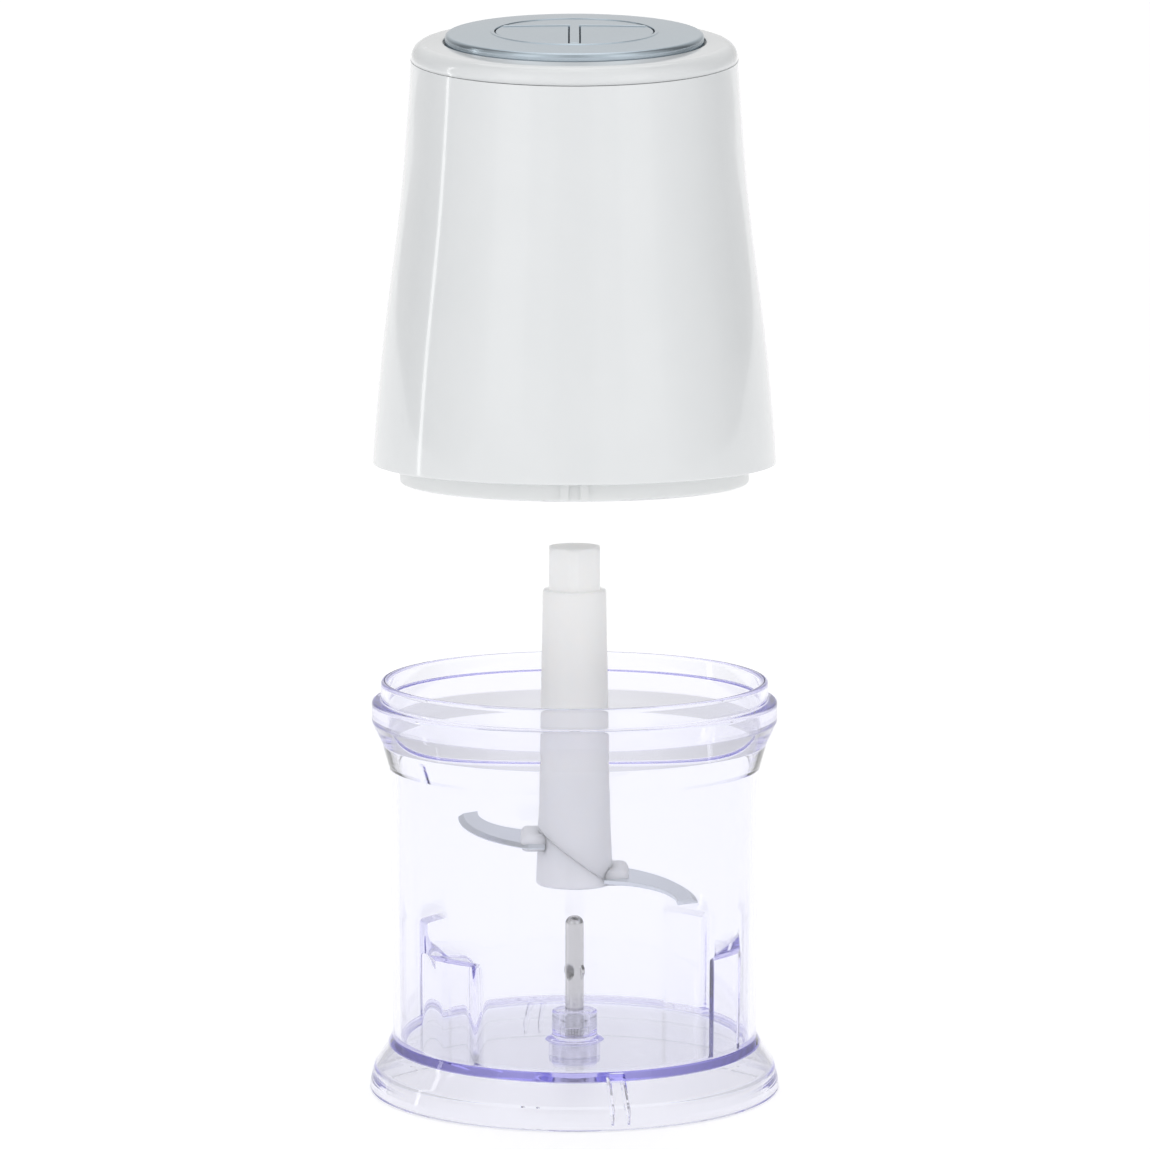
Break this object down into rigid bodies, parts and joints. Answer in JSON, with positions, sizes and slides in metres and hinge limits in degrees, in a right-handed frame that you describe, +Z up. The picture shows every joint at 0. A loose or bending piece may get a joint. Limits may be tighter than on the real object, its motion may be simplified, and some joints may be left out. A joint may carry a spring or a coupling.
{
  "type": "mini food chopper",
  "caption": "Mini food chopper: clear bowl with a steel pin, lift-out blade unit, and white motor head with press keys on top.",
  "frame": {"origin": "middle of the bowl's foot, on the table", "axes": "+Z up along the bowl's and motor's common axis; -Y towards the front, where the keys lean to; +X to the right. At rest the machine is lifted apart: head and blade unit hang above their seats."},
  "size_m": [0.116, 0.116, 0.3018],
  "materials": {
    "clear_plastic": "clear, violet-tinted at its edges, polished",
    "white_gloss": "white, high gloss",
    "milky_plastic": "translucent milky white, satin",
    "black_plastic": "black, matt",
    "acetal": "off-white acetal, satin",
    "brushed_top": "blue-grey satin steel",
    "blade_steel": "satin with ground edge",
    "pin_steel": "turned, semi-bright",
    "screw_steel": "zinc plated",
    "spring_steel": "bright wire",
    "lamination": "varnished steel laminations",
    "winding_copper": "enamelled copper wire",
    "commutator_copper": "turned copper",
    "carbon": "carbon block",
    "motor_frame": "die cast",
    "sintered": "oil-filled sintered bronze",
    "black_rubber": "black rubber",
    "grey_rubber": "grey rubber",
    "gear_steel": "hardened, oiled",
    "board_green": "green circuit board",
    "capacitor_box": "yellow potted box"
  },
  "bodies": {
    "bowl": {"bowl": "clear_plastic", "bowl_pin": "pin_steel"},
    "bush": {"hub_bush": "acetal"},
    "blade_unit": {"hub_body": "milky_plastic", "hub_foot": "milky_plastic", "blade_upper": "blade_steel", "blade_lower": "blade_steel"},
    "head": {"head_housing": "white_gloss", "bottom_cover": "white_gloss", "cover_screws": "screw_steel", "cable_grommet": "grey_rubber", "top_cover": "white_gloss", "top_disc": "brushed_top", "key_frame": "brushed_top", "key_frame_base": "black_plastic", "key_spring_right": "spring_steel", "key_spring_left": "spring_steel", "switch_right": "black_plastic", "switch_left": "black_plastic", "switch_board": "board_green", "board_screws": "screw_steel", "capacitor": "capacitor_box", "terminal_block": "acetal", "motor_stator": "lamination", "field_coils": "winding_copper", "motor_bracket_lower": "motor_frame", "motor_bracket_upper": "motor_frame", "bearing_lower": "gear_steel", "bearing_upper": "gear_steel", "through_bolts": "screw_steel", "brush_holders": "black_plastic", "carbon_brushes": "carbon", "gear_case": "black_plastic", "ring_gear": "acetal", "output_bush": "sintered", "shaft_seal": "black_rubber", "motor_mounts": "black_rubber", "mount_screws": "screw_steel"},
    "key_right": {"key_right": "brushed_top", "key_post_right": "black_plastic", "switch_plunger_right": "acetal"},
    "key_left": {"key_left": "brushed_top", "key_post_left": "black_plastic", "switch_plunger_left": "acetal"},
    "rotor": {"motor_shaft": "pin_steel", "armature_core": "lamination", "armature_windings": "winding_copper", "commutator": "commutator_copper", "cooling_fan": "black_plastic", "sun_gear": "gear_steel"},
    "drive": {"drive_coupler": "acetal", "planet_carrier": "gear_steel", "planet_pins": "pin_steel"},
    "planet_1": {"planet_gear_1": "acetal"},
    "planet_2": {"planet_gear_2": "acetal"},
    "planet_3": {"planet_gear_3": "acetal"}
  },
  "joints": [
    {"name": "head_lift", "type": "slide", "parent": "bowl", "child": "head", "axis": [0, 0, 1], "range_m": [-0.0668, 0]},
    {"name": "blade_lift", "type": "slide", "parent": "bowl", "child": "bush", "axis": [0, 0, 1], "range_m": [-0.0415, 0]},
    {"name": "blade_spin", "type": "hinge", "parent": "bush", "child": "blade_unit", "pos_m": [0, 0, 0.1], "axis": [0, 0, 1], "continuous": true},
    {"name": "rotor_spin", "type": "hinge", "parent": "head", "child": "rotor", "pos_m": [0, 0, 0.24], "axis": [0, 0, 1], "continuous": true},
    {"name": "drive_spin", "type": "hinge", "parent": "head", "child": "drive", "pos_m": [0, 0, 0.19], "axis": [0, 0, 1], "continuous": true},
    {"name": "planet_1_spin", "type": "hinge", "parent": "drive", "child": "planet_1", "pos_m": [0.0108, 0, 0.2025], "axis": [0, 0, 1], "continuous": true},
    {"name": "planet_2_spin", "type": "hinge", "parent": "drive", "child": "planet_2", "pos_m": [-0.0054, 0.00935, 0.2025], "axis": [0, 0, 1], "continuous": true},
    {"name": "planet_3_spin", "type": "hinge", "parent": "drive", "child": "planet_3", "pos_m": [-0.0054, -0.00935, 0.2025], "axis": [0, 0, 1], "continuous": true},
    {"name": "key_right_press", "type": "slide", "parent": "head", "child": "key_right", "axis": [0, -0.1219, 0.9925], "range_m": [-0.0016, 0], "stiffness_N_per_m": 900, "springref_m": 0.001, "deforming": ["key_spring_right"]},
    {"name": "key_left_press", "type": "slide", "parent": "head", "child": "key_left", "axis": [0, -0.1219, 0.9925], "range_m": [-0.0016, 0], "stiffness_N_per_m": 900, "springref_m": 0.001, "deforming": ["key_spring_left"]}
  ],
  "couplings": [
    {"joint": "blade_lift", "follows": "head_lift", "ratio": 0.62},
    {"joint": "blade_spin", "follows": "rotor_spin", "ratio": 0.25},
    {"joint": "drive_spin", "follows": "rotor_spin", "ratio": 0.25},
    {"joint": "planet_1_spin", "follows": "rotor_spin", "ratio": -0.75},
    {"joint": "planet_2_spin", "follows": "rotor_spin", "ratio": -0.75},
    {"joint": "planet_3_spin", "follows": "rotor_spin", "ratio": -0.75}
  ]
}
